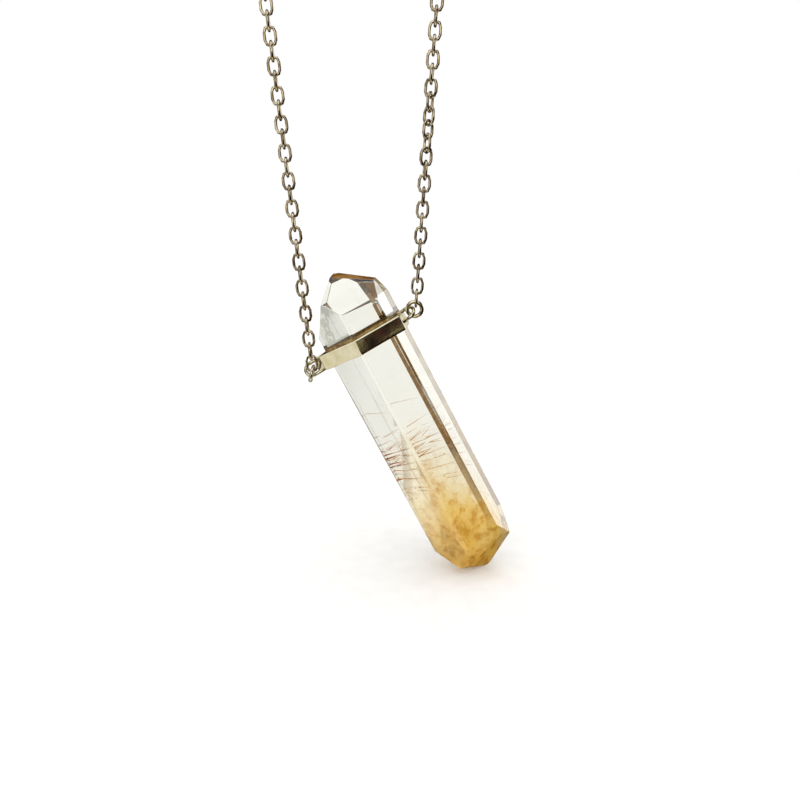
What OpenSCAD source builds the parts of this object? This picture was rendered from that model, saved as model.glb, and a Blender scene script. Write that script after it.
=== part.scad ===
/* [Crystal] */
// Width of the crystal across its left and right edges
crystal_w = 10.1; // [9.8:0.1:10.4]
// Length of the six-sided shaft below the middle of the band
shaft_below = 28.5; // [24:0.5:36]
// Length of the six-sided shaft above the middle of the band
shaft_above = 4; // [3:0.1:6]
// Tilt of the crystal from vertical, its foot to the right
crystal_tilt = 27.8; // [24:0.2:32]
// Lean of the crystal, its foot to the front
crystal_lean = 3.5; // [0:0.1:5]

/* [Band] */
// Height of the band along the crystal
band_h = 2; // [1.8:0.1:2.4]
// Thickness of the band on its four wide faces
band_wall = 0.6; // [0.5:0.05:0.8]
// Thickness of the band's left end, which carries an ear
left_wall = 1.15; // [1:0.05:1.2]
// Thickness of the band's right end, which carries an ear
right_wall = 0.95; // [0.9:0.05:1]
// Radius of the band's outer corners
band_corner = 0.35; // [0.2:0.05:0.4]
// Gap between the crystal and the band
bezel_gap = 0.03; // [0.02:0.01:0.06]

/* [Ears and jump rings] */
// Wire diameter of an ear
ear_wire = 0.42; // [0.36:0.02:0.42]
// Radius of an ear's bend, to the middle of the wire
ear_r = 0.84; // [0.82:0.01:0.86]
// Wire diameter of a jump ring
ring_wire = 0.5; // [0.44:0.02:0.52]
// Radius of a jump ring, to the middle of the wire
ring_r = 0.91; // [0.9:0.01:0.94]

/* [Chain] */
// Length of the necklace, once round the whole loop
necklace_l = 400; // [385:1:404]
// Outer width of a link
link_w = 1.6; // [1.5:0.05:1.7]
// Outer length of a link
link_l = 2.4; // [2.38:0.01:2.44]
// Wire diameter of a link
link_wire = 0.34; // [0.3:0.02:0.34]
// Outward lean of the left strand
left_lean = 5.45; // [5:0.05:6]
// Outward lean of the right strand
right_lean = 3.65; // [3:0.05:4]

/* [Clasp] */
// Half the length of the clasp, to the middle of its end wire
clasp_half = 4; // [3.6:0.1:4.4]
// Radius of the clasp's round ends, to the middle of the wire
clasp_r = 1.8; // [1.5:0.1:2]
// Wire diameter of the clasp
clasp_wire = 0.6; // [0.5:0.02:0.6]

/* [Hidden] */
$fn = 48;

// Sides of the crystal's shaft: direction, distance from the axis at full width
SIDES = [
    [-126, 4.72],
    [-60, 4.32],
    [-15, 4.35],
    [54, 4.72],
    [120, 4.32],
    [165, 4.35],
];
// Facets of the top end: direction, slope upwards, distance from the middle of the shoulder
TOP_FACETS = [
    [-56, 43, 3.13],
    [-15, 10, 4.33],
    [176, 36, 3.3],
    [118, 42, 4.92],
    [50, 28, 4.42],
    [-20, 58, 3.91],
];
// Facets of the foot, in the same columns
FOOT_FACETS = [
    [-60, -38, 3.5],
    [170, -37, 3.7],
    [50, -25, 4.31],
    [55, -45, 4.15],
    [120, -46, 4],
    [-88, -54, 4.6],
];
// Walls of the band on those sides: direction of the outer face, thickness, rounding of the
// corner that follows
WALLS = [
    [-126, band_wall, 0.1],
    [-60, band_wall, band_corner],
    [-4, right_wall, band_corner],
    [54, band_wall, band_corner],
    [120, band_wall, band_corner],
    [165, left_wall, band_corner],
];
width_scale = crystal_w / 10.1;
shaft = [for (s = SIDES) [s[0], s[1] * width_scale]];
opening = [for (s = shaft) [s[0], s[1] + bezel_gap]];
outside = [for (i = [0 : 5]) [WALLS[i][0], opening[i][1] + WALLS[i][1]]];
corner_steps = 4;
cut = 60;

// Middle of the hole of each ear, in the tilted frame of the band: along, back, up
EAR_LEFT = [-8.08, 0.66, -0.17];
EAR_RIGHT = [6.1, 0, 0.62];
// Bend of each ear against the band: tilt of its arms, lean of its plane
LEFT_SET = [4, 25];
RIGHT_SET = [8, 54];
ear_arm = 2.5;
// Steps from an ear to its jump ring and from the ring to the last link
TO_RING_LEFT = [0.02, -0.39, -0.465];
TO_RING_RIGHT = [0.85, 0, 0.48];
TO_LINK_LEFT = [0.06, -0.27, 1.335];
TO_LINK_RIGHT = [0.22, 0, 1.345];
ring_left_turn = 13;
// Distance of the band's middle behind the necklace's plane, which balances the lean
mid_back = 0.71;

function tilted(p) = [
    p[0] * cos(crystal_tilt) - p[2] * sin(crystal_tilt),
    p[1],
    p[0] * sin(crystal_tilt) + p[2] * cos(crystal_tilt),
];
ring_left_at = tilted(EAR_LEFT) + TO_RING_LEFT;
ring_right_at = tilted(EAR_RIGHT) + TO_RING_RIGHT;
link_left_at = ring_left_at + TO_LINK_LEFT;
link_right_at = ring_right_at + TO_LINK_RIGHT;

// Straight strands and round turn that close the loop over the pendant
PITCH_LEFT = 1.59;
PITCH_RIGHT = 1.515;
link_bend = (link_w - link_wire) / 2;
link_half = (link_l - link_wire) / 2;
span = link_right_at - link_left_at;
grips = norm(span) + 2 * link_half;
chain_path = necklace_l - grips;
turn = (180 + left_lean + right_lean) * PI / 180;
m11 = cos(right_lean) + cos(left_lean) + turn * sin(right_lean);
m12 = sin(right_lean) - sin(left_lean);
m21 = sin(left_lean) - sin(right_lean) + turn * cos(right_lean);
m22 = cos(right_lean) + cos(left_lean);
k1 = span[0] + chain_path * sin(right_lean);
k2 = span[2] + chain_path * cos(right_lean);
turn_r = (k1 * m22 - k2 * m12) / (m11 * m22 - m12 * m21);
left_straight = (m11 * k2 - m21 * k1) / (m11 * m22 - m12 * m21);
right_straight = chain_path - left_straight - turn_r * turn;

// The clasp hangs at the top, its lower side at the hanging point
clasp_gap = 0.12;
clasp_drop = turn_r - sqrt(turn_r * turn_r - clasp_half * clasp_half);
turn_top = clasp_wire / 2 + clasp_drop;
turn_mid = [0, turn_top - turn_r];
hook_x = clasp_half - (clasp_wire + link_wire) / 2 - clasp_gap + link_half;
hook_path = turn_r * asin(hook_x / turn_r) * PI / 180;
left_path = left_straight + turn_r * (90 + left_lean) * PI / 180 - hook_path;
right_path = right_straight + turn_r * (90 + right_lean) * PI / 180 - hook_path;
left_steps = 2 * round(left_path / PITCH_LEFT / 2);
right_steps = 2 * round(right_path / PITCH_RIGHT / 2);
left_pitch = left_path / left_steps;
right_pitch = right_path / right_steps;
// Slow twist of each strand: first link, last link, angle
LEFT_TWIST = [0, 60, 14];
RIGHT_TWIST = [8, 19, 90];

left_end = turn_mid + turn_r * [-cos(left_lean), -sin(left_lean)]
    + left_straight * [sin(left_lean), -cos(left_lean)];
right_end = turn_mid + turn_r * [cos(right_lean), -sin(right_lean)]
    + right_straight * [-sin(right_lean), -cos(right_lean)];
mid_at = [left_end[0] - link_left_at[0], 0, left_end[1] - link_left_at[2]];

// Corner between a side and the next one, given as direction and distance, moved in by r
function corner(p, q, r = 0) =
    let (a = p[1] - r, b = q[1] - r)
        [a * sin(q[0]) - b * sin(p[0]), b * cos(p[0]) - a * cos(q[0])] / sin(q[0] - p[0]);
function outline(rows) = [for (i = [0 : 5]) corner(rows[i], rows[(i + 1) % 6])];
function rounded(rows) = [
    for (i = [0 : 5])
        let (p = rows[i], q = rows[(i + 1) % 6], r = WALLS[i][2], sweep = (q[0] - p[0] + 360) % 360)
            for (k = [0 : corner_steps])
                let (a = p[0] + sweep * k / corner_steps)
                    corner(p, q, r) + r * [cos(a), sin(a)]
];

function smooth(t) = let (c = min(1, max(0, t))) c * c * (3 - 2 * c);
function twist(i, row) = row[2] * smooth((i - row[0]) / (row[1] - row[0]));
// Place and heading on a strand at distance s from its last link: x, z, heading
function left_way(s) = s < left_straight
    ? concat(left_end + s * [-sin(left_lean), cos(left_lean)], -left_lean)
    : let (a = 180 + left_lean - (s - left_straight) / turn_r * 180 / PI)
        concat(turn_mid + turn_r * [cos(a), sin(a)], 180 - a);
function right_way(s) = s < right_straight
    ? concat(right_end + s * [sin(right_lean), cos(right_lean)], right_lean)
    : let (a = (s - right_straight) / turn_r * 180 / PI - right_lean)
        concat(turn_mid + turn_r * [cos(a), sin(a)], -a);

// Half ring of wire in the XZ plane, bulging towards +Z
module half_ring(bend, wire) {
    rotate([90, 0, 0])
        rotate_extrude(angle = 180)
            translate([bend, 0])
                circle(d = wire);
}

// Closed loop of wire with two straight sides, standing in the XZ plane
module wire_loop(bend, half, wire) {
    straight = half - bend;
    for (end = [0, 180])
        rotate([0, end, 0])
            translate([0, 0, straight])
                half_ring(bend, wire);
    for (side = [-1, 1])
        translate([side * bend, 0, -straight])
            cylinder(d = wire, h = 2 * straight);
}

module jump_ring() {
    rotate_extrude()
        translate([ring_r, 0])
            circle(d = ring_wire);
}

// Ear with its hole centred on the origin, bulging towards +X, arms along -X
module ear() {
    rotate([0, 90, 0])
        half_ring(ear_r, ear_wire);
    for (side = [-1, 1])
        translate([0, 0, side * ear_r])
            rotate([0, -90, 0])
                cylinder(d = ear_wire, h = ear_arm);
}

// Frames of the pendant: the necklace's plane turned by the tilt, and the crystal's own
module tilt() {
    translate(mid_at)
        rotate([0, -crystal_tilt, 0])
            children();
}

module hang() {
    translate(mid_at + [0, mid_back, 0])
        rotate([-crystal_lean, -crystal_tilt, 0])
            children();
}

module facet_cut(row, shoulder) {
    rotate([0, -row[1], row[0]])
        translate([row[2] * width_scale + sin(row[1]) * shoulder, -cut / 2, -cut / 2])
            cube(cut);
}

module crystal() {
    color("#eadfc0", 0.6)
        hang()
            difference() {
                translate([0, 0, -shaft_below - cut / 4])
                    linear_extrude(shaft_below + shaft_above + cut / 2)
                        polygon(outline(shaft));
                for (row = TOP_FACETS)
                    facet_cut(row, shaft_above);
                for (row = FOOT_FACETS)
                    facet_cut(row, -shaft_below);
            }
}

module band() {
    color("#d8d3bb")
        difference() {
            union() {
                hang()
                    translate([0, 0, -band_h / 2])
                        linear_extrude(band_h)
                            polygon(rounded(outside));
                tilt() {
                    translate(EAR_LEFT)
                        rotate([0, 180 - LEFT_SET[0], 0])
                            rotate([LEFT_SET[1], 0, 0])
                                ear();
                    translate(EAR_RIGHT)
                        rotate([0, -RIGHT_SET[0], 0])
                            rotate([-RIGHT_SET[1], 0, 0])
                                ear();
                }
            }
            hang()
                translate([0, 0, -cut / 2])
                    linear_extrude(cut)
                        polygon(outline(opening));
        }
}

module ring_left() {
    color("#cfc7a6")
        translate(mid_at + ring_left_at)
            rotate([0, 90 + ring_left_turn, 0])
                jump_ring();
}

module ring_right() {
    color("#cfc7a6")
        translate(mid_at + ring_right_at)
            rotate([90, 0, 0])
                jump_ring();
}

module place_link(way, angle) {
    translate([way[0], 0, way[1]])
        rotate([0, way[2], 0])
            rotate([0, 0, angle])
                wire_loop(link_bend, link_half, link_wire);
}

module chain_left() {
    color("#b9ad86")
        for (i = [0 : left_steps])
            place_link(left_way(i * left_pitch), 90 * (i % 2) + twist(i, LEFT_TWIST));
}

module chain_right() {
    color("#b9ad86")
        for (i = [0 : right_steps])
            place_link(right_way(i * right_pitch), 90 * ((i + 1) % 2) + twist(i, RIGHT_TWIST));
}

module clasp() {
    color("#cfc7a6")
        translate([0, 0, clasp_wire / 2])
            rotate([90, 0, 90])
                wire_loop(clasp_r, clasp_half, clasp_wire);
}

crystal();
band();
ring_left();
ring_right();
chain_left();
chain_right();
clasp();
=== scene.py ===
# %% [markdown]
# # A quartz point in a band of white gold, on a fine cable chain
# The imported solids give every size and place. This lesson dresses them: it cuts the crystal again
# with polished edges, lays its needles inside, rounds the metal, winds the links again, and then
# lights the whole as a small still life on pale paper.

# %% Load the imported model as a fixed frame
import math
import random

import bmesh
import bpy
from mathutils import Matrix, Vector


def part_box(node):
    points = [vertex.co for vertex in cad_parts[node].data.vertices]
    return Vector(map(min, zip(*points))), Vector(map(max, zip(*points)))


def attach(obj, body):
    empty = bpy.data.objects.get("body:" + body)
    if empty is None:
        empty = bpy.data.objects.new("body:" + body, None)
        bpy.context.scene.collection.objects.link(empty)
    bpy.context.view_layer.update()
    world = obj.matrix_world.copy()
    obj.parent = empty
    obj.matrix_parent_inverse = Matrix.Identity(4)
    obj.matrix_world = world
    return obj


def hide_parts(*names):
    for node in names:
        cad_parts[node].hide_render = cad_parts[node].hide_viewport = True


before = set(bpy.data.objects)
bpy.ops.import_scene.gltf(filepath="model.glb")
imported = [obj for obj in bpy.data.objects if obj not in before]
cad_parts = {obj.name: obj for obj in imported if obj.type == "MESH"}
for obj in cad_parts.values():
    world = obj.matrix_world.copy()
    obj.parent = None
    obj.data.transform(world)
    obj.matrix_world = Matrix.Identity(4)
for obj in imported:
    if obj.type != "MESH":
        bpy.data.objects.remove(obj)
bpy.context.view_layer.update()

print("nodes:", sorted(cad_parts))

# %% [markdown]
# ## Frames and sizes
# All sizes below are in millimetres, the unit a goldsmith works in, and one matrix at the end turns
# them into metres. The pendant has two frames: `TILTED` is turned in the necklace's plane, as the
# ears are, and `HUNG` also leans a little and lies a little further back, as the crystal and its
# band do.

# %% Frames of the pendant
MM = 0.001
TILT, LEAN = math.radians(27.8), math.radians(3.5)
MIDDLE = Vector((3.24435, 0, -179.99474))
BEHIND = Vector((0, 0.71, 0))
TO_METRES = Matrix.Scale(MM, 4)
TILTED = TO_METRES @ Matrix.Translation(MIDDLE) @ Matrix.Rotation(-TILT, 4, "Y")
HUNG = (
    TO_METRES @ Matrix.Translation(MIDDLE + BEHIND)
    @ Matrix.Rotation(-TILT, 4, "Y") @ Matrix.Rotation(-LEAN, 4, "X")
)


def turned(x=0, y=0, z=0):
    """Turns about X, then Y, then Z, in degrees."""
    turn = Matrix.Identity(4)
    for angle, axis in ((x, "X"), (y, "Y"), (z, "Z")):
        turn = Matrix.Rotation(math.radians(angle), 4, axis) @ turn
    return turn


print("middle of the band, in metres:", [round(v, 5) for v in HUNG.translation])

# %% [markdown]
# ## Small helpers
# Colours are written as a designer reads them, in hex, and Blender's shaders want them linear. A
# pattern's scale comes from the width of its marks. One helper adds a shader node with its settings
# and links. Another turns a finished bmesh into a piece: it welds doubles, points the faces
# outwards, keeps flat faces flat, lets round ones shade smoothly, and puts the piece on its body.

# %% Helpers for colours, patterns and nodes
# The sockets of a Mix node share their names, so they go by number: the share of the second entry,
# then the two entries where they are plain numbers, and where they are colours.
SHARE, NUMBER_A, NUMBER_B, COLOUR_A, COLOUR_B = 0, 2, 3, 6, 7
MIXED_COLOUR = 2


def linear(code):
    """An sRGB hex colour as the linear values that shaders use."""
    parts = [int(code[i : i + 2], 16) / 255 for i in (1, 3, 5)]
    values = [c / 12.92 if c <= 0.04045 else ((c + 0.055) / 1.055) ** 2.4 for c in parts]
    return (*values, 1.0)


def per_metre(width):
    """The scale of a pattern on Object coordinates, from the width of its marks in millimetres."""
    return 1 / (width * MM)


def add_node(tree, kind, settings=None, inputs=None, stops=None):
    """Adds a node. Its inputs are values or other nodes' outputs; stops are a ramp's colours."""
    node = tree.nodes.new("ShaderNode" + kind)
    for name, value in (settings or {}).items():
        setattr(node, name, value)
    for name, value in (inputs or {}).items():
        if isinstance(value, bpy.types.NodeSocket):
            tree.links.new(value, node.inputs[name])
        else:
            node.inputs[name].default_value = value
    if stops:
        while len(node.color_ramp.elements) < len(stops):
            node.color_ramp.elements.new(0.5)
        for element, (place, code) in zip(node.color_ramp.elements, stops):
            element.position, element.color = place, linear(code)
    return node


def new_material(name):
    """A material with one Principled shader, and its node tree."""
    material = bpy.data.materials.new(name)
    material.use_nodes = True
    tree = material.node_tree
    return material, tree, tree.nodes["Principled BSDF"]


print("mid grey is", round(linear("#808080")[0], 3), "in linear light")

# %% Helper that turns a bmesh into a piece
# Points closer than WELD are one. ALL_ROUND is more than any face has, so all of them are smooth.
WELD = 1e-4
ALL_ROUND = 1e9


def make_piece(bm, name, place, body, material, flat_from=0, stands_for=()):
    """Turns a bmesh in mm into a piece on its body. Faces of flat_from mm2 and more stay flat."""
    bmesh.ops.remove_doubles(bm, verts=bm.verts[:], dist=WELD)
    bmesh.ops.recalc_face_normals(bm, faces=bm.faces[:])
    for face in bm.faces:
        face.smooth = face.calc_area() < flat_from
    bmesh.ops.transform(bm, matrix=place, verts=bm.verts[:])
    mesh = bpy.data.meshes.new(name)
    bm.to_mesh(mesh)
    bm.free()
    piece = bpy.data.objects.new(name, mesh)
    bpy.context.scene.collection.objects.link(piece)
    mesh.materials.append(material)
    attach(piece, body)
    if stands_for:
        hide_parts(*stands_for)
    print(f"{name}: {len(mesh.polygons)} faces")


# %% [markdown]
# ## Camera
# The lines of the photograph fit a camera with a fairly wide lens, about 10 cm from the pendant and
# a little above it. It looks down 15 degrees, which fits the crystal's edges and both strands.

# %% Camera
SIGHT = Vector((7.390, 0, -187.807))
SIGHT_DISTANCE, LOOK_DOWN = 98.56, math.radians(15)
SENSOR, LENS, NEAREST = 36, 34.65, 2
camera_data = bpy.data.cameras.new("camera")
camera_data.sensor_width = SENSOR
camera_data.lens = LENS
camera_data.clip_start = NEAREST * MM
camera = bpy.data.objects.new("camera", camera_data)
bpy.context.scene.collection.objects.link(camera)
step_back = Vector((0, -math.cos(LOOK_DOWN), math.sin(LOOK_DOWN))) * SIGHT_DISTANCE
camera.location = (SIGHT + step_back) * MM
camera.rotation_euler = (math.pi / 2 - LOOK_DOWN, 0, 0)
bpy.context.scene.camera = camera
print("camera at", [round(v, 4) for v in camera.location])

# %% [markdown]
# ## The quartz, as a material
# Quartz is clear and bends light a little more than window glass does. This one is clear at its
# top, creamy below the needles, and honey to amber at its foot, where fine clouds of iron stain it.
# The colour follows the crystal's own length, which a Mapping node turns upright. The stain lies
# near the front faces, so it starts lower on the faces behind: that is why the right face stays
# pale in the photograph. Noise a few millimetres wide keeps the change from being even. The small
# top facet was left as it broke, and is stained brown.

# %% Top facet: direction, slope, distance from the axis, which is taken at the shoulder's height
TOP_CUT = (-20, 58, 3.91)
SHOULDER, FOOT = 4.0, -28.5


def facing(direction, slope):
    """The outward normal of a face, from its compass direction and its slope in degrees."""
    a, s = math.radians(direction), math.radians(slope)
    return Vector((math.cos(a) * math.cos(s), math.sin(a) * math.cos(s), math.sin(s)))


top_normal = facing(*TOP_CUT[:2])
top_reach = TOP_CUT[2] + top_normal.z * SHOULDER
print("top facet looks", [round(v, 2) for v in top_normal])

# %% Quartz, ground and polished: the eye looks through it at the needles and at its own far faces
STAIN_START, STAIN_END = -8.0, -35.5
DRIFT_WIDTH, DRIFT_REACH, BACK_SHIFT = 10 / 3, 8.0, 2.0
QUARTZ_IOR, POLISH = 1.544, 0.01
quartz, tree, shader = new_material("quartz, ground and polished")
coords = add_node(tree, "TexCoord")
upright = add_node(
    tree, "Mapping", {"vector_type": "TEXTURE"},
    {"Vector": coords.outputs["Object"], "Location": HUNG.translation,
     "Rotation": (-LEAN, -TILT, 0), "Scale": (MM, MM, MM)},
)
along = add_node(tree, "SeparateXYZ", inputs={"Vector": upright.outputs["Vector"]})
drift = add_node(
    tree, "TexNoise",
    inputs={"Vector": upright.outputs["Vector"], "Scale": 1 / DRIFT_WIDTH, "Detail": 3.0},
)
wander = add_node(
    tree, "Math", {"operation": "MULTIPLY_ADD"},
    {0: drift.outputs["Fac"], 1: DRIFT_REACH, 2: along.outputs["Z"]},
)
behind = add_node(
    tree, "Math", {"operation": "MULTIPLY_ADD"},
    {0: along.outputs["Y"], 1: BACK_SHIFT, 2: wander.outputs[0]},
)
zone = add_node(
    tree, "MapRange",
    inputs={"Value": behind.outputs[0], "From Min": STAIN_START, "From Max": STAIN_END},
)
body_colour = add_node(
    tree, "ValToRGB", inputs={"Fac": zone.outputs["Result"]},
    stops=[(0.0, "#eeeee6"), (0.30, "#edebde"), (0.45, "#e9dfc0"), (0.64, "#e7d098"),
           (0.80, "#e0b85c"), (0.95, "#deaa42")],
)
shader.inputs["IOR"].default_value = QUARTZ_IOR
shader.inputs["Roughness"].default_value = POLISH
print("stain grows from", STAIN_START, "to", STAIN_END, "mm along the crystal")

# %% Iron clouds in the quartz, a little over a millimetre wide: amber smoke inside the honey foot
CLOUD_WIDTH, CLOUD_COLOUR, CLOUD_MOST = 4 / 3, "#ba801f", 0.9
CLOUD_EDGE, CLOUD_ZONE = (0.46, 0.62), (0.35, 0.8)
clouds = add_node(
    tree, "TexNoise",
    inputs={"Vector": upright.outputs["Vector"], "Scale": 1 / CLOUD_WIDTH, "Detail": 6.0,
            "Roughness": 0.7},
)
cloud_edge = add_node(
    tree, "MapRange",
    inputs={"Value": clouds.outputs["Fac"], "From Min": CLOUD_EDGE[0], "From Max": CLOUD_EDGE[1],
            "To Max": CLOUD_MOST},
)
cloud_zone = add_node(
    tree, "MapRange",
    inputs={"Value": zone.outputs["Result"], "From Min": CLOUD_ZONE[0], "From Max": CLOUD_ZONE[1]},
)
cloud_share = add_node(
    tree, "Math", {"operation": "MULTIPLY"},
    {0: cloud_edge.outputs["Result"], 1: cloud_zone.outputs["Result"]},
)
stained = add_node(
    tree, "Mix", {"data_type": "RGBA"},
    {SHARE: cloud_share.outputs[0], COLOUR_A: body_colour.outputs["Color"],
     COLOUR_B: linear(CLOUD_COLOUR)},
)
print("clouds are", round(CLOUD_WIDTH, 2), "mm wide")

# %% Brown stain on the top facet, and milkiness that grows with the stain
TOP_COLOUR, TOP_SKIN, TOP_CLEARNESS = "#8f5c22", (0.06, 0.03), 0.5
MILK_FROM_CLOUDS, MILK_START, MILK_END, LEAST_CLEARNESS = 0.5, 0.62, 1.08, 0.32
to_top = add_node(
    tree, "VectorMath", {"operation": "DOT_PRODUCT"}, {0: upright.outputs["Vector"], 1: top_normal},
)
top_share = add_node(
    tree, "MapRange",
    inputs={"Value": to_top.outputs["Value"], "From Min": top_reach - TOP_SKIN[0],
            "From Max": top_reach - TOP_SKIN[1]},
)
with_top = add_node(
    tree, "Mix", {"data_type": "RGBA"},
    {SHARE: top_share.outputs[0], COLOUR_A: stained.outputs[MIXED_COLOUR],
     COLOUR_B: linear(TOP_COLOUR)},
)
patchy = add_node(
    tree, "Math", {"operation": "MULTIPLY_ADD"},
    {0: clouds.outputs["Fac"], 1: MILK_FROM_CLOUDS, 2: zone.outputs["Result"]},
)
milky = add_node(
    tree, "MapRange",
    inputs={"Value": patchy.outputs[0], "From Min": MILK_START, "From Max": MILK_END,
            "To Min": 1.0, "To Max": LEAST_CLEARNESS},
)
clear = add_node(
    tree, "Mix",
    inputs={SHARE: top_share.outputs[0], NUMBER_A: milky.outputs["Result"],
            NUMBER_B: TOP_CLEARNESS},
)
tree.links.new(with_top.outputs[MIXED_COLOUR], shader.inputs["Base Color"])
tree.links.new(clear.outputs[0], shader.inputs["Transmission Weight"])
print("quartz nodes:", len(tree.nodes))

# %% [markdown]
# ## The crystal, cut like a gem
# A lapidary grinds one flat face after another. So does this cell: it starts from a block and
# bisects it with a plane for each of the six sides and for each facet of both ends, filling every
# cut. Then a very fine bevel takes the knife edge off, as polishing does, and gives bright lines.

# %% Sides: direction, distance from the axis. Facets: direction, slope, distance from the axis
SIDES = [(-126, 4.72), (-60, 4.32), (-15, 4.35), (54, 4.72), (120, 4.32), (165, 4.35)]
TOP_FACETS = [
    (-56, 43, 3.13), (-15, 10, 4.33), (176, 36, 3.3), (118, 42, 4.92), (50, 28, 4.42),
    TOP_CUT,
]
FOOT_FACETS = [
    (-60, -38, 3.5), (170, -37, 3.7), (50, -25, 4.31), (55, -45, 4.15), (120, -46, 4),
    (-88, -54, 4.6),
]
BLOCK, BLOCK_MIDDLE, EDGE_POLISH = 60, (0, 0, -10), 0.05


def grind(bm, direction, slope, distance, height):
    """Grinds a flat face: everything outside the plane goes, and the cut is closed."""
    normal = facing(direction, slope)
    reach = distance + normal.z * height
    cut = bmesh.ops.bisect_plane(
        bm, geom=bm.verts[:] + bm.edges[:] + bm.faces[:],
        plane_co=normal * reach, plane_no=normal, clear_outer=True,
    )
    rim = [e for e in cut["geom_cut"] if isinstance(e, bmesh.types.BMEdge)]
    bmesh.ops.contextual_create(bm, geom=rim)


print("faces to grind:", len(SIDES) + len(TOP_FACETS) + len(FOOT_FACETS))

# %% Crystal
bm = bmesh.new()
bmesh.ops.create_cube(bm, size=BLOCK, matrix=Matrix.Translation(BLOCK_MIDDLE))
for direction, distance in SIDES:
    grind(bm, direction, 0, distance, 0)
for rows, height in ((TOP_FACETS, SHOULDER), (FOOT_FACETS, FOOT)):
    for direction, slope, distance in rows:
        grind(bm, direction, slope, distance, height)
bmesh.ops.bevel(
    bm, geom=bm.edges[:], offset=EDGE_POLISH, offset_type="OFFSET", affect="EDGES",
    segments=2, profile=0.5, material=-1, clamp_overlap=True,
)
make_piece(bm, "quartz_point", HUNG, "pendant", quartz, stands_for=["crystal"])

# %% [markdown]
# ## Needles of rutile
# The needles are hair-thin crystals of rutile, a red-brown mineral that lets light through where it
# is thin. They lie just under the back face, and each is seen twice, once through each front face,
# because the quartz bends the light. So they are laid where they really are, and the refraction
# does the doubling. A needle is a five-sided cone, thick at its root, and its faces stay flat. The
# first table holds the needles that stand out; the rest are drawn at random, with a fixed seed.
#
# Rutile bends light far more than quartz does. The index here is much lower than its true 2.6, so
# that the light of the pale room comes through the hairs and they look red-brown, not black.

# %% Rutile, grown as needles. Its stripes are far too fine to show, so its tone drifts over 1 mm
RUTILE_DRIFT, NEEDLE_IOR, NEEDLE_SATIN = 10 / 9, 1.05, 0.2
rutile, tree, shader = new_material("rutile, natural needles")
coords = add_node(tree, "TexCoord")
grain = add_node(
    tree, "TexNoise",
    inputs={"Vector": coords.outputs["Object"], "Scale": per_metre(RUTILE_DRIFT)},
)
tone = add_node(
    tree, "ValToRGB", inputs={"Fac": grain.outputs["Fac"]},
    stops=[(0.35, "#bf7e2c"), (0.65, "#d49a46")],
)
tree.links.new(tone.outputs["Color"], shader.inputs["Base Color"])
shader.inputs["Transmission Weight"].default_value = 1.0
shader.inputs["IOR"].default_value = NEEDLE_IOR
shader.inputs["Roughness"].default_value = NEEDLE_SATIN
print("needle material:", rutile.name)

# %% Where the needles lie: across and along the back face at root and tip, then width and depth
BACK_DIRECTION, BACK_DISTANCE = math.radians(120), 4.32
NEEDLES = [
    (-2.71, -11.95, -1.42, -12.02, 0.14, 0.25),
    (-2.83, -14.55, 0.90, -15.20, 0.17, 0.25),
    (-2.83, -14.60, -1.00, -14.92, 0.22, 0.30),
    (-2.68, -15.14, 0.60, -15.55, 0.16, 0.25),
    (-2.66, -15.20, -0.90, -15.42, 0.22, 0.35),
    (-2.55, -15.43, -0.15, -15.95, 0.12, 0.25),
    (-2.67, -16.01, -0.20, -16.40, 0.19, 0.25),
    (-2.08, -16.12, 1.05, -16.69, 0.15, 0.25),
    (-2.69, -16.39, -1.40, -16.64, 0.20, 0.30),
    (-2.35, -16.43, 2.85, -17.60, 0.14, 0.25),
    (-2.53, -16.91, 0.40, -18.00, 0.13, 0.25),
    (0.72, -18.02, 2.92, -18.66, 0.10, 0.25),
    (-2.57, -17.39, -0.52, -18.22, 0.11, 0.25),
    (-2.85, -18.16, 0.20, -19.12, 0.26, 0.25),
    (-2.77, -18.34, -1.70, -18.58, 0.26, 0.35),
    (0.15, -19.14, 2.90, -20.00, 0.10, 0.25),
    (-2.78, -19.59, -0.40, -20.59, 0.10, 0.25),
    (-2.71, -20.13, -0.49, -21.06, 0.09, 0.25),
    (0.77, -21.20, 2.95, -22.09, 0.11, 0.25),
    (1.06, -20.69, 3.04, -21.61, 0.09, 0.25),
    (-2.63, -14.21, -0.95, -14.28, 0.10, 0.25),
    (-2.22, -13.21, 0.59, -13.36, 0.08, 0.25),
    (-0.65, -12.53, 3.00, -12.48, 0.08, 0.25),
    (0.99, -15.02, 3.00, -15.45, 0.08, 0.25),
    (1.30, -15.90, 3.00, -16.27, 0.08, 0.25),
    (-1.20, -14.30, 0.90, -13.90, 0.11, 0.25),
    (-1.00, -14.30, 1.65, -14.14, 0.08, 0.25),
    (0.70, -14.63, 2.25, -14.20, 0.08, 0.25),
    (0.90, -15.18, 2.86, -15.51, 0.11, 0.25),
    (-1.20, -15.60, 0.50, -15.60, 0.15, 0.25),
    (-1.20, -16.10, -0.10, -16.06, 0.15, 0.25),
    (1.04, -15.87, 2.86, -16.57, 0.10, 0.25),
    (-1.20, -16.75, 0.87, -16.67, 0.19, 0.25),
    (2.08, -18.24, 2.47, -18.31, 0.14, 0.25),
    (0.64, -20.72, 0.90, -20.78, 0.24, 0.25),
    (-1.08, -21.75, -0.85, -21.80, 0.24, 0.25),
    (-0.80, -21.07, -0.06, -21.97, 0.09, 0.25),
    (-1.70, -8.60, 2.90, -10.06, 0.06, 0.30),
    (-0.35, -26.01, 1.49, -27.60, 0.10, 0.90),
    (0.14, -27.20, 2.00, -28.40, 0.09, 1.40),
    (0.26, -24.92, 3.20, -27.00, 0.07, 0.60),
]
NEEDLE_SIDES, TIP_SHARE = 5, 1 / 4


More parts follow.
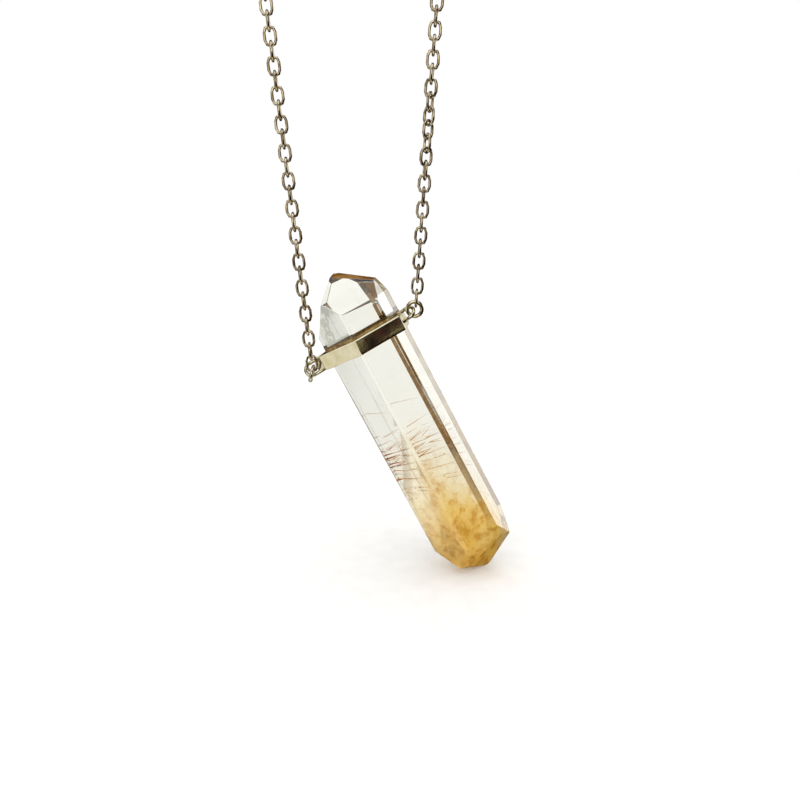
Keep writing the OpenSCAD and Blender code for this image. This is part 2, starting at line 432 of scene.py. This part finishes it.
def lay_needle(bm, across0, along0, across1, along1, width, depth):
    """A thin cone under the back face, from its root to its tip."""
    out = Vector((math.cos(BACK_DIRECTION), math.sin(BACK_DIRECTION), 0))
    across = Vector((math.sin(BACK_DIRECTION), -math.cos(BACK_DIRECTION), 0))
    root, tip = (
        out * (BACK_DISTANCE - depth - width) + across * a + Vector((0, 0, b))
        for a, b in ((across0, along0), (across1, along1))
    )
    line = tip - root
    aim = line.to_track_quat("Z", "Y").to_matrix().to_4x4()
    bmesh.ops.create_cone(
        bm, cap_ends=True, segments=NEEDLE_SIDES, radius1=width / 2,
        radius2=width / 2 * TIP_SHARE, depth=line.length,
        matrix=Matrix.Translation((root + tip) / 2) @ aim,
    )


print("needles in the table:", len(NEEDLES))

# %% Needles. The fine ones spread like a fan: the lower they lie, the more they point down
SEED, FINE_NEEDLES = 5, 44
FINE_START, FINE_HEIGHT, FINE_END = (-2.6, 1.5), (-25, -12, -17), 3.0
FINE_LENGTH, FINE_WIDTH, FINE_DEPTH = (1.0, 3.2), (0.015, 0.035), (0.25, 0.6)
FAN, FAN_LEVEL, FAN_STRAY = 0.046, 11, 0.08
random.seed(SEED)
bm = bmesh.new()
for row in NEEDLES:
    lay_needle(bm, *row)
for _ in range(FINE_NEEDLES):
    start = random.uniform(*FINE_START)
    height = random.triangular(*FINE_HEIGHT)
    length = random.uniform(*FINE_LENGTH)
    slope = FAN * (height + FAN_LEVEL) + random.uniform(-FAN_STRAY, FAN_STRAY)
    lay_needle(
        bm, start, height, min(start + length, FINE_END), height + slope * length,
        random.uniform(*FINE_WIDTH), random.uniform(*FINE_DEPTH),
    )
make_piece(bm, "rutile_needles", HUNG, "pendant", rutile)

# %% [markdown]
# ## White gold, as a material
# The mounting is white gold with a warm cast, rolled, soldered and polished by hand, so it shines
# like a soft mirror. Its roughness wavers over a millimetre or so, and the colour is a touch
# yellower in places. The chain's wire is as smooth, but its colour turns dark brown in random
# patches about a millimetre wide. This is painted shade that darkens the links the way the dark
# reflections along them do. Polishing leaves hairlines of about a hundredth of a millimetre. They
# are too fine to show, so they are drawn 0.25 mm wide on the band and 0.15 mm on the wire.

# %% White gold, polished, and the same as drawn wire
SHEEN_WIDTH, HAIRLINE_STRENGTH, HAIRLINE_DEEP = 10 / 9, 0.25, 0.01


def white_gold(name, pale, warm_tone_and_shade, low, high, hairline):
    """Metal whose colour and roughness waver; hairline is the width of its fine marks in mm."""
    material, tree, shader = new_material(name)
    coords = add_node(tree, "TexCoord")
    sheen = add_node(
        tree, "TexNoise",
        inputs={"Vector": coords.outputs["Object"], "Scale": per_metre(SHEEN_WIDTH),
                "Detail": 4.0},
    )
    colour = add_node(
        tree, "ValToRGB", inputs={"Fac": sheen.outputs["Fac"]}, stops=[(0.35, pale), (0.7, warm_tone_and_shade)],
    )
    rough = add_node(
        tree, "MapRange",
        inputs={"Value": sheen.outputs["Fac"], "From Min": 0.3, "From Max": 0.7,
                "To Min": low, "To Max": high},
    )
    marks = add_node(
        tree, "TexNoise",
        inputs={"Vector": coords.outputs["Object"], "Scale": per_metre(hairline), "Detail": 2.0},
    )
    bump = add_node(
        tree, "Bump",
        inputs={"Height": marks.outputs["Fac"], "Strength": HAIRLINE_STRENGTH,
                "Distance": HAIRLINE_DEEP * MM},
    )
    tree.links.new(colour.outputs["Color"], shader.inputs["Base Color"])
    tree.links.new(rough.outputs["Result"], shader.inputs["Roughness"])
    tree.links.new(bump.outputs["Normal"], shader.inputs["Normal"])
    shader.inputs["Metallic"].default_value = 1.0
    return material


polished_gold = white_gold("white gold, polished", "#dcd6c0", "#cdc4a2", 0.05, 0.13, 0.25)
# The wire's dark brown second tone is painted shade in random patches, standing in for dark
# reflections along the links.
wire_gold = white_gold("white gold, drawn wire", "#dbd0b6", "#7c6749", 0.05, 0.12, 0.15)
print("metals:", polished_gold.name, "and", wire_gold.name)

# %% [markdown]
# ## The band
# The band is a strip of white gold bent round the crystal, a touch thicker at both ends, where an
# ear of round wire is soldered on. Its outline is drawn corner by corner, the ring between outline
# and crystal is bridged and pulled up to the band's height, and a bevel rolls over its outer edges:
# that rolled edge is what catches the bright line round each face.

# %% Outline of the band: direction, thickness, rounding of the corner that follows
WALLS = [
    (-126, 0.6, 0.1), (-60, 0.6, 0.35), (-4, 0.95, 0.35), (54, 0.6, 0.35), (120, 0.6, 0.35),
    (165, 1.15, 0.35),
]
BAND_HEIGHT, BEZEL_GAP, ROLLED_EDGE = 2.0, 0.03, 0.27
OPENING_ROUND, CORNER_STEPS = 0.04, 6


def corner(p, q, inwards):
    """Where two sides, each a direction and a distance, meet once both are moved inwards."""
    (a, m), (b, n) = ((math.radians(d), r - inwards) for d, r in (p, q))
    meeting = Vector((m * math.sin(b) - n * math.sin(a), n * math.cos(a) - m * math.cos(b), 0))
    return meeting / math.sin(b - a)


def draw_outline(bm, sides, roundings, height):
    """Draws a closed outline with rounded corners, and gives its edges."""
    points = []
    for i, side in enumerate(sides):
        following = sides[(i + 1) % len(sides)]
        sweep = (following[0] - side[0]) % 360
        centre = corner(side, following, roundings[i])
        for k in range(CORNER_STEPS + 1):
            a = math.radians(side[0] + sweep * k / CORNER_STEPS)
            arm = Vector((math.cos(a), math.sin(a), 0)) * roundings[i]
            points.append(bm.verts.new(centre + arm + Vector((0, 0, height))))
    return [bm.edges.new((a, b)) for a, b in zip(points, points[1:] + points[:1])]


print("walls of the band, in mm:", [thick for _, thick, _ in WALLS])

# %% Ears of round wire: middle of the hole, tilt and lean of the loop, length of its arms
EARS = [
    (Vector((-8.08, 0.66, -0.17)), turned(x=25, y=176), 2.75),
    (Vector((6.1, 0, 0.62)), turned(x=-54, y=-8), 1.45),
]
EAR_WIRE, EAR_BEND, EAR_STEPS, WIRE_SIDES = 0.46, 0.84, 18, 16
WEB_START, WEB_THICK = 0.7, 0.24


def bend_wire(bm, bend, wire, angle, steps, sides, closed=False):
    """Bends wire round the Y axis from +X towards +Z, and gives both its ends."""
    ring = bmesh.ops.create_circle(
        bm, radius=wire / 2, segments=sides, matrix=Matrix.Translation((bend, 0, 0)),
    )["verts"]
    edges = list({e for v in ring for e in v.link_edges})
    spun = bmesh.ops.spin(
        bm, geom=ring + edges, cent=(0, 0, 0), axis=(0, -1, 0), angle=math.radians(angle),
        steps=steps, use_merge=closed,
    )
    last = [g for g in spun["geom_last"] if isinstance(g, bmesh.types.BMEdge)]
    return edges, last


def pull(bm, edges, way):
    """Draws the open end of a wire out along a straight line."""
    drawn = bmesh.ops.extrude_edge_only(bm, edges=edges)["geom"]
    bmesh.ops.translate(bm, verts=[g for g in drawn if isinstance(g, bmesh.types.BMVert)], vec=way)


print("holes of the ears, in mm:", 2 * EAR_BEND - EAR_WIRE)

# %% Strip of the band
bm = bmesh.new()
opening = [(direction, distance + BEZEL_GAP) for direction, distance in SIDES]
outside = [
    (direction, distance + thick)
    for (direction, thick, _), (_, distance) in zip(WALLS, opening)
]
low = -BAND_HEIGHT / 2
rims = draw_outline(bm, opening, [OPENING_ROUND] * len(SIDES), low)
rims += draw_outline(bm, outside, [rounding for _, _, rounding in WALLS], low)
bmesh.ops.bridge_loops(bm, edges=rims)
raised = bmesh.ops.extrude_face_region(bm, geom=bm.faces[:])["geom"]
bmesh.ops.translate(
    bm, verts=[g for g in raised if isinstance(g, bmesh.types.BMVert)], vec=(0, 0, BAND_HEIGHT),
)
bmesh.ops.recalc_face_normals(bm, faces=bm.faces[:])
print("strip:", len(bm.faces), "faces")

# %% Rolled edges of the band
THIN_PART, STEEP = 0.2, 0.1


def is_outer(edge):
    """True for an edge of the band's top or bottom that lies on its outline."""
    flat = all(abs(abs(v.co.z) - BAND_HEIGHT / 2) < WELD for v in edge.verts)
    level = abs(edge.verts[0].co.z - edge.verts[1].co.z) < WELD
    middle = (edge.verts[0].co + edge.verts[1].co) / 2
    beyond = max(
        middle.x * math.cos(math.radians(d)) + middle.y * math.sin(math.radians(d)) - r
        for d, r in opening
    )
    upright = any(abs(f.normal.z) < STEEP for f in edge.link_faces)
    return flat and level and upright and beyond > THIN_PART


outer_edges = [e for e in bm.edges if is_outer(e)]
bmesh.ops.bevel(
    bm, geom=outer_edges, offset=ROLLED_EDGE, offset_type="OFFSET", affect="EDGES",
    segments=5, profile=0.5, material=-1, clamp_overlap=True,
)
bmesh.ops.transform(bm, matrix=TILTED.inverted() @ HUNG, verts=bm.verts[:])
print("rolled edges:", len(outer_edges))

# %% [markdown]
# ## The ears
# An ear is a half turn of wire with straight arms, and solder has run between the arms where they
# meet the band. The arms are filled at their ends, and a thin block of solder closes the gap
# between them, short of the hole that the jump ring swings in.

# %% Ears, soldered to the band
FLAT_FACE = 0.25
for hole, setting, arm in EARS:
    loop = bmesh.new()
    for end in bend_wire(loop, EAR_BEND, EAR_WIRE, 180, EAR_STEPS, WIRE_SIDES):
        pull(loop, end, (0, 0, -arm))
    bmesh.ops.holes_fill(loop, edges=loop.edges[:])
    web_size = Matrix.Diagonal((2 * EAR_BEND, WEB_THICK, arm - WEB_START, 1))
    web = Matrix.Translation((0, 0, -(WEB_START + arm) / 2)) @ web_size
    bmesh.ops.create_cube(loop, size=1, matrix=web)
    stand = Matrix.Translation(hole) @ setting @ turned(y=90)
    bmesh.ops.transform(loop, matrix=stand, verts=loop.verts[:])
    mesh = bpy.data.meshes.new("ear")
    loop.to_mesh(mesh)
    loop.free()
    bm.from_mesh(mesh)
    bpy.data.meshes.remove(mesh)
make_piece(
    bm, "bezel_band", TILTED, "pendant", polished_gold, flat_from=FLAT_FACE,
    stands_for=["band"],
)

# %% [markdown]
# ## The cement
# A band like this is set with a brown cement, and a little of it shows above the metal. Through
# the quartz it gives the brown line that follows the band's upper edge. It is a thin ring in the
# gap between crystal and band: two outlines, bridged and pulled up. Its crumbs are about a tenth of
# a millimetre, too fine to show, so the change of tone is drawn about 0.6 mm wide.

# %% Cement, dried in the gap: dull, and uneven in tone
CRUMB, CEMENT_DULL = 0.625, 0.7
cement, tree, shader = new_material("cement, dried in the gap")
coords = add_node(tree, "TexCoord")
crumbs = add_node(
    tree, "TexNoise",
    inputs={"Vector": coords.outputs["Object"], "Scale": per_metre(CRUMB), "Detail": 4.0},
)
tone = add_node(
    tree, "ValToRGB", inputs={"Fac": crumbs.outputs["Fac"]},
    stops=[(0.35, "#6e4a1c"), (0.65, "#a58a4c")],
)
tree.links.new(tone.outputs["Color"], shader.inputs["Base Color"])
shader.inputs["Roughness"].default_value = CEMENT_DULL
print("cement material:", cement.name)

# %% Cement line
CEMENT_IN, CEMENT_OUT, CEMENT_LOW, CEMENT_HIGH = 0.004, 0.027, -0.95, 1.28
CEMENT_ROUND = 0.03
bm = bmesh.new()
rims = [
    edge for room in (CEMENT_IN, CEMENT_OUT)
    for edge in draw_outline(
        bm, [(direction, distance + room) for direction, distance in SIDES],
        [CEMENT_ROUND + room] * len(SIDES), CEMENT_LOW,
    )
]
bmesh.ops.bridge_loops(bm, edges=rims)
raised = bmesh.ops.extrude_face_region(bm, geom=bm.faces[:])["geom"]
bmesh.ops.translate(
    bm, verts=[g for g in raised if isinstance(g, bmesh.types.BMVert)],
    vec=(0, 0, CEMENT_HIGH - CEMENT_LOW),
)
make_piece(bm, "cement_line", HUNG, "pendant", cement)

# %% [markdown]
# ## Jump rings
# A jump ring is one turn of round wire, closed through the ear and the last link. A full spin of a
# circle gives it, with the seam merged.

# %% Jump rings: middle and turn of each
RING_WIRE, RING_BEND, RING_STEPS = 0.5, 0.91, 40
RINGS = {
    "left": (Vector((-3.80377, 0.27, -184.37853)), turned(x=90, y=103)),
    "right": (Vector((9.20114, 0, -176.12134)), turned()),
}
for side, (middle, setting) in RINGS.items():
    bm = bmesh.new()
    bend_wire(bm, RING_BEND, RING_WIRE, 360, RING_STEPS, WIRE_SIDES, closed=True)
    stand = TO_METRES @ Matrix.Translation(middle) @ setting
    make_piece(
        bm, f"jump_ring_{side}", stand, "pendant", polished_gold, flat_from=ALL_ROUND,
        stands_for=[f"ring_{side}"],
    )

# %% [markdown]
# ## The cable chain
# A cable chain is made of equal oval links, each turned a quarter against the next. One link is a
# half turn of wire with its legs pulled straight, and the same again upside down. It has few faces,
# because it is repeated over two hundred times. Each strand runs straight up and then round the
# top, and the links stand along it at an even step. The first link of a strand is drawn of finer
# wire, so that the jump ring can swing in it.

# %% One link: radius of its bends, half of its length, wire of the links and of the first link
LINK_BEND, LINK_HALF, LINK_WIRE, END_WIRE = 0.63, 1.03, 0.39, 0.34
LINK_STEPS, LINK_SIDES, LINK_WELD = 4, 6, 1e-3


def oval_link(bend, half, wire, steps, sides):
    """A closed oval of round wire that stands in the XZ plane."""
    bm = bmesh.new()
    for end in bend_wire(bm, bend, wire, 180, steps, sides):
        pull(bm, end, (0, 0, bend - half))
    bmesh.ops.translate(bm, verts=bm.verts[:], vec=(0, 0, half - bend))
    other = bmesh.ops.duplicate(bm, geom=bm.verts[:] + bm.edges[:] + bm.faces[:])["geom"]
    verts = [g for g in other if isinstance(g, bmesh.types.BMVert)]
    bmesh.ops.rotate(bm, verts=verts, cent=(0, 0, 0), matrix=Matrix.Rotation(math.pi, 3, "Y"))
    bmesh.ops.remove_doubles(bm, verts=bm.verts[:], dist=LINK_WELD)
    return bm


print("a link is", round(2 * LINK_HALF + LINK_WIRE, 2), "mm long")

# %% Strands: side, lean, straight length, step, 1 if the first link lies across, twist
# The twist of a strand starts at one link, ends at another, and turns it that many degrees.
TURN_R, TURN_TOP, LINKS = 19.342863, 0.718108, 121
STRANDS = {
    "left": (-1, math.radians(5.45), 163.319936, 1.592197, 0, (0, 60, 14)),
    "right": (1, math.radians(3.65), 155.235081, 1.519759, 1, (8, 19, 90)),
}


def strand_place(side, i):
    """Where link i of a strand stands, as a matrix in metres."""
    sign, lean, straight, step, first, (begin, done, twist) = STRANDS[side]
    s = i * step
    turn_middle = Vector((0, 0, TURN_TOP - TURN_R))
    if s < straight:
        upwards = Vector((sign * math.sin(lean), 0, math.cos(lean)))
        shoulder = turn_middle + TURN_R * Vector((sign * math.cos(lean), 0, -math.sin(lean)))
        at, heading = shoulder - straight * upwards + s * upwards, sign * lean
    else:
        a = (s - straight) / TURN_R - lean
        at = turn_middle + TURN_R * Vector((sign * math.cos(a), 0, math.sin(a)))
        heading = -sign * a
    part = min(1, max(0, (i - begin) / (done - begin)))
    eased = part * part * (3 - 2 * part)
    angle = 90 * ((i + first) % 2) + twist * eased
    return (
        TO_METRES @ Matrix.Translation(at) @ Matrix.Rotation(heading, 4, "Y")
        @ Matrix.Rotation(math.radians(angle), 4, "Z")
    )


for side in STRANDS:
    print(side, "strand starts at", [round(v, 4) for v in strand_place(side, 0).translation])

# %% Both strands
patterns = {}
for wire in (LINK_WIRE, END_WIRE):
    link = oval_link(LINK_BEND, LINK_HALF, wire, LINK_STEPS, LINK_SIDES)
    patterns[wire] = bpy.data.meshes.new("link")
    link.to_mesh(patterns[wire])
    link.free()
for side in STRANDS:
    bm = bmesh.new()
    for i in range(LINKS):
        before = len(bm.verts)
        bm.from_mesh(patterns[LINK_WIRE if i else END_WIRE])
        bm.verts.ensure_lookup_table()
        stand = TO_METRES.inverted() @ strand_place(side, i)
        bmesh.ops.transform(bm, matrix=stand, verts=bm.verts[before:])
    make_piece(
        bm, f"cable_chain_{side}", TO_METRES, "necklace", wire_gold,
        flat_from=ALL_ROUND, stands_for=[f"chain_{side}"],
    )
for pattern in patterns.values():
    bpy.data.meshes.remove(pattern)

# %% [markdown]
# ## The clasp
# The clasp is out of the photograph, so it stays one plain oval of thicker wire.

# %% Clasp
CLASP_BEND, CLASP_HALF, CLASP_WIRE, CLASP_STEPS, CLASP_SIDES = 1.8, 4.0, 0.6, 20, 14
bm = oval_link(CLASP_BEND, CLASP_HALF, CLASP_WIRE, CLASP_STEPS, CLASP_SIDES)
stand = TO_METRES @ Matrix.Translation((0, 0, CLASP_WIRE / 2)) @ turned(x=90, z=90)
make_piece(
    bm, "plain_clasp", stand, "necklace", polished_gold, flat_from=ALL_ROUND,
    stands_for=["clasp"],
)

# %% [markdown]
# ## Paper, and a room of two looks
# The pendant hangs over a sheet of pale paper, lit from all round, so the paper goes white. Clear
# quartz and polished metal only show what is around them. A still-life photographer therefore
# sets small cards where each of them looks, and so does this scene: the quartz sees a white room
# with a few brown cards, which draw the brown lines inside it, and the metal sees a dim brown room
# with bright openings, which gives the wire its dark edges and pale middle. The fibres of paper are
# a few hundredths of a millimetre wide, too fine to show, so its mottling is drawn 2.5 mm wide.

# %% Paper floor, matt and all but white. Its half width and the gap to the foot are in metres
FLOOR_HALF, FLOOR_GAP, MOTTLING, PAPER_MATT = 3.0, 0.00003, 2.5, 0.9
floor_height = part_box("crystal")[0].z - FLOOR_GAP
paper, tree, shader = new_material("pale paper")
coords = add_node(tree, "TexCoord")
fibre = add_node(
    tree, "TexNoise", inputs={"Vector": coords.outputs["Object"], "Scale": per_metre(MOTTLING)},
)
shade = add_node(
    tree, "ValToRGB", inputs={"Fac": fibre.outputs["Fac"]},
    stops=[(0.3, "#f6f5f3"), (0.7, "#fafaf9")],
)
tree.links.new(shade.outputs["Color"], shader.inputs["Base Color"])
shader.inputs["Roughness"].default_value = PAPER_MATT
bm = bmesh.new()
bmesh.ops.create_grid(bm, x_segments=1, y_segments=1, size=FLOOR_HALF)
floor_mesh = bpy.data.meshes.new("floor")
bm.to_mesh(floor_mesh)
bm.free()
floor_mesh.materials.append(paper)
floor = bpy.data.objects.new("floor", floor_mesh)
floor.location.z = floor_height
# Metal looks past the paper, at the lower half of its own room.
floor.visible_glossy = False
bpy.context.scene.collection.objects.link(floor)
print("paper lies at", round(floor_height, 5))

# %% Rooms for quartz and for metal: direction, edge and core of each patch, colour, strength
# Edge and core are cosines of the angle from the patch's direction.
QUARTZ_WALLS, METAL_WALLS = ("#ffffff", 0.88), ("#2e1f17", 0.9)
QUARTZ_ROOM = [
    ((0.45, 0.82, 0.35), 0.925, 0.985, "#fbfbf4", 0.66),
    ((0.90, -0.40, 0.16), 0.93, 0.985, "#ffffff", 1.12),
    ((0.17, -0.985, 0.03), 0.975, 0.99, "#ffffff", 1.15),
]
METAL_ROOM = [
    ((0.0, -0.966, 0.26), 0.92, 0.99, "#f6efdc", 2.4),
    ((0.0, 0.0, 1.0), 0.65, 0.88, "#ffffff", 1.3),
    ((0.0, 0.0, -1.0), 0.70, 0.90, "#fff6e6", 1.0),
    ((-0.84, -0.15, -0.52), 0.90, 0.97, "#fffdf0", 1.0),
    ((-0.78, -0.60, -0.10), 0.92, 0.98, "#fffaf0", 1.2),
    ((-0.93, 0.21, 0.31), 0.92, 0.97, "#ffffff", 1.3),
    ((-0.70, 0.58, 0.42), 0.93, 0.98, "#fffaf0", 1.2),
    ((0.92, 0.31, 0.23), 0.94, 0.98, "#ffffff", 1.4),
    ((0.42, 0.90, -0.05), 0.92, 0.97, "#f4eed8", 0.9),
    ((0.62, 0.78, 0.02), 0.95, 0.985, "#ffffff", 2.0),
]


def scaled(code, strength):
    """A hex colour made brighter or dimmer, as light is."""
    return tuple(c * strength for c in linear(code)[:3]) + (1.0,)


def room(tree, direction, walls, patches):
    """The colour of a room in every direction: its walls, and round patches with soft edges."""
    colour = scaled(*walls)
    for middle, edge, core, code, strength in patches:
        near = add_node(
            tree, "VectorMath", {"operation": "DOT_PRODUCT"},
            {0: direction, 1: Vector(middle).normalized()},
        )
        share = add_node(
            tree, "MapRange", {"interpolation_type": "SMOOTHSTEP"},
            {"Value": near.outputs["Value"], "From Min": edge, "From Max": core},
        )
        colour = add_node(
            tree, "Mix", {"data_type": "RGBA"},
            {SHARE: share.outputs[0], COLOUR_A: colour, COLOUR_B: scaled(code, strength)},
        ).outputs[MIXED_COLOUR]
    return add_node(tree, "Background", inputs={"Color": colour, "Strength": 1.0}).outputs[0]


print("patches in the rooms:", len(QUARTZ_ROOM) + len(METAL_ROOM))

# %% World: paper and other matt things get even light, and quartz, metal and camera their own looks
EVEN_LIGHT, BACKDROP_LIGHT, WHITE = 1.16, 1.0, (1, 1, 1, 1)
world = bpy.data.worlds.new("studio")
bpy.context.scene.world = world
world.use_nodes = True
# Every ray that leaves the scene picks up the look for its own kind. A separate sample of the
# world's light would find the even light on quartz and metal too, so no such samples are taken.
world.cycles.sampling_method = "NONE"
tree = world.node_tree
tree.nodes.clear()
look = add_node(tree, "TexCoord").outputs["Generated"]
ray = add_node(tree, "LightPath")
even, backdrop = (
    add_node(tree, "Background", inputs={"Color": WHITE, "Strength": strength}).outputs[0]
    for strength in (EVEN_LIGHT, BACKDROP_LIGHT)
)
seen = even
for kind, view in (
    ("Is Glossy Ray", room(tree, look, METAL_WALLS, METAL_ROOM)),
    ("Is Transmission Ray", room(tree, look, QUARTZ_WALLS, QUARTZ_ROOM)),
    ("Is Camera Ray", backdrop),
):
    seen = add_node(
        tree, "MixShader", inputs={0: ray.outputs[kind], 1: seen, 2: view},
    ).outputs[0]
add_node(tree, "OutputWorld", inputs={"Surface": seen})
print("world nodes:", len(tree.nodes))

# %% [markdown]
# ## The cards
# Each card was placed by following a line of sight from the camera into the crystal, through its
# inner reflections and out again. A card draws one form that the photograph shows in the quartz:
# the paper card and the back card together the brown line down the shaft and the brown tip, the
# near card the brown beside the band, the far card and both strips the thin line of the right edge,
# the pale card a softer right face, the spot card a small brown corner of the tip, and the side
# card the thin line inside the left edge. The dark card is for the metal: it makes the band's right
# face dark and mottled. A card is seen only by what it is for, and it throws no shadow. Card is
# matt, and its colour drifts over some millimetres, so that no line in the quartz is one flat tone.

# %% Cards: middle, size, turns about X, Y and Z, colours, width of the drift, who sees it
ON_PAPER = floor_height / MM
EDGE_BROWN = ("#998b70", "#ad9f85")
CARDS = [
    ("paper_card", (-21, -62, ON_PAPER + 0.3), (26, 124), (0, 0, -35.3),
     ("#75521a", "#8d682a"), 3.0, "quartz"),
    ("back_card", (131, 78.4, -172), (15, 74), (90, 0, 123.5),
     ("#6e4b14", "#86611f"), 3.0, "quartz"),
    ("near_card", (70, -75, -153), (14, 32), (90, 0, 43),
     ("#5c3f12", "#74531c"), 3.0, "quartz"),
    ("far_card", (31, -250, -184), (12, 66), (90, -40, 0),
     EDGE_BROWN, 9.0, "quartz"),
    ("near_strip", (24.5, -55, ON_PAPER + 0.25), (4, 73), (0, 0, 8.9),
     EDGE_BROWN, 9.0, "quartz"),
    ("far_strip", (39.5, -172.5, ON_PAPER + 0.25), (5, 167), (0, 0, 6.6),
     EDGE_BROWN, 9.0, "quartz"),
    ("pale_card", (-9, 30, ON_PAPER + 0.2), (14, 66), (0, 0, 43),
     ("#dddad2", "#e6e4dd"), 9.0, "quartz"),
    ("spot_card", (-24, 21.5, ON_PAPER + 0.3), (5, 4), (0, 0, 0),
     ("#7a6038", "#94794c"), 3.0, "quartz"),
    ("side_card", (110.6, -4.6, -158), (6, 76), (90, 2.9, 84),
     ("#6a5026", "#7d6238"), 3.0, "quartz"),
    ("dark_card", (49, -40, -158), (15, 12), (90, 0, 51.3),
     ("#0d0604", "#4a1a10", "#1c140c", "#a39c78"), 5.0, "metal"),
]
print("cards for quartz:", sum(row[-1] == "quartz" for row in CARDS))

# %% Cards, cut, coloured and set up
FIRST_STOP, STOPS_SPREAD, CARD_MATT = 0.42, 0.16, 0.9


def set_card(name, middle, size, turns, colours, drift, seen_by):
    """An oblong of card that only quartz or only metal sees, and that throws no shadow."""
    material, tree, shader = new_material(f"card, {name}")
    coords = add_node(tree, "TexCoord")
    noise = add_node(
        tree, "TexNoise",
        inputs={"Vector": coords.outputs["Object"], "Scale": per_metre(drift), "Detail": 2.0},
    )
    stops = [
        (FIRST_STOP + STOPS_SPREAD * i / (len(colours) - 1), code)
        for i, code in enumerate(colours)
    ]
    shade = add_node(tree, "ValToRGB", inputs={"Fac": noise.outputs["Fac"]}, stops=stops)
    tree.links.new(shade.outputs["Color"], shader.inputs["Base Color"])
    shader.inputs["Roughness"].default_value = CARD_MATT
    # A grid's size is half of its width, so this one is 1 mm wide until it is scaled.
    bm = bmesh.new()
    bmesh.ops.create_grid(bm, x_segments=1, y_segments=1, size=0.5)
    bmesh.ops.scale(bm, vec=(*size, 1), verts=bm.verts[:])
    stand = TO_METRES @ Matrix.Translation(middle) @ turned(*turns)
    bmesh.ops.transform(bm, matrix=stand, verts=bm.verts[:])
    mesh = bpy.data.meshes.new(name)
    bm.to_mesh(mesh)
    bm.free()
    mesh.materials.append(material)
    card = bpy.data.objects.new(name, mesh)
    card.visible_camera = card.visible_diffuse = card.visible_shadow = False
    card.visible_glossy = seen_by == "metal"
    card.visible_transmission = seen_by == "quartz"
    bpy.context.scene.collection.objects.link(card)


for row in CARDS:
    set_card(*row)
print("cards:", [row[0] for row in CARDS])

# %% [markdown]
# ## One soft lamp
# The rooms give light from all round. One broad round lamp in front, at the upper left, adds a
# little from one side, as a window does. Colours are shown as they are, without a film look,
# because the photograph has plain whites.

# %% Soft lamp
LAMP_SPOT, LAMP_WIDTH, LAMP_WATTS = Vector((-0.25, -0.35, 0.15)), 0.30, 0.2
lamp_data = bpy.data.lights.new("window", "AREA")
lamp_data.shape, lamp_data.size, lamp_data.energy = "DISK", LAMP_WIDTH, LAMP_WATTS
lamp = bpy.data.objects.new("window", lamp_data)
lamp.location = LAMP_SPOT
lamp.rotation_euler = (HUNG.translation - LAMP_SPOT).to_track_quat("-Z", "Y").to_euler()
lamp.visible_camera = lamp.visible_transmission = False
bpy.context.scene.collection.objects.link(lamp)
bpy.context.scene.view_settings.view_transform = "Standard"
print("lamp is", round((HUNG.translation - LAMP_SPOT).length, 2), "m from the pendant")
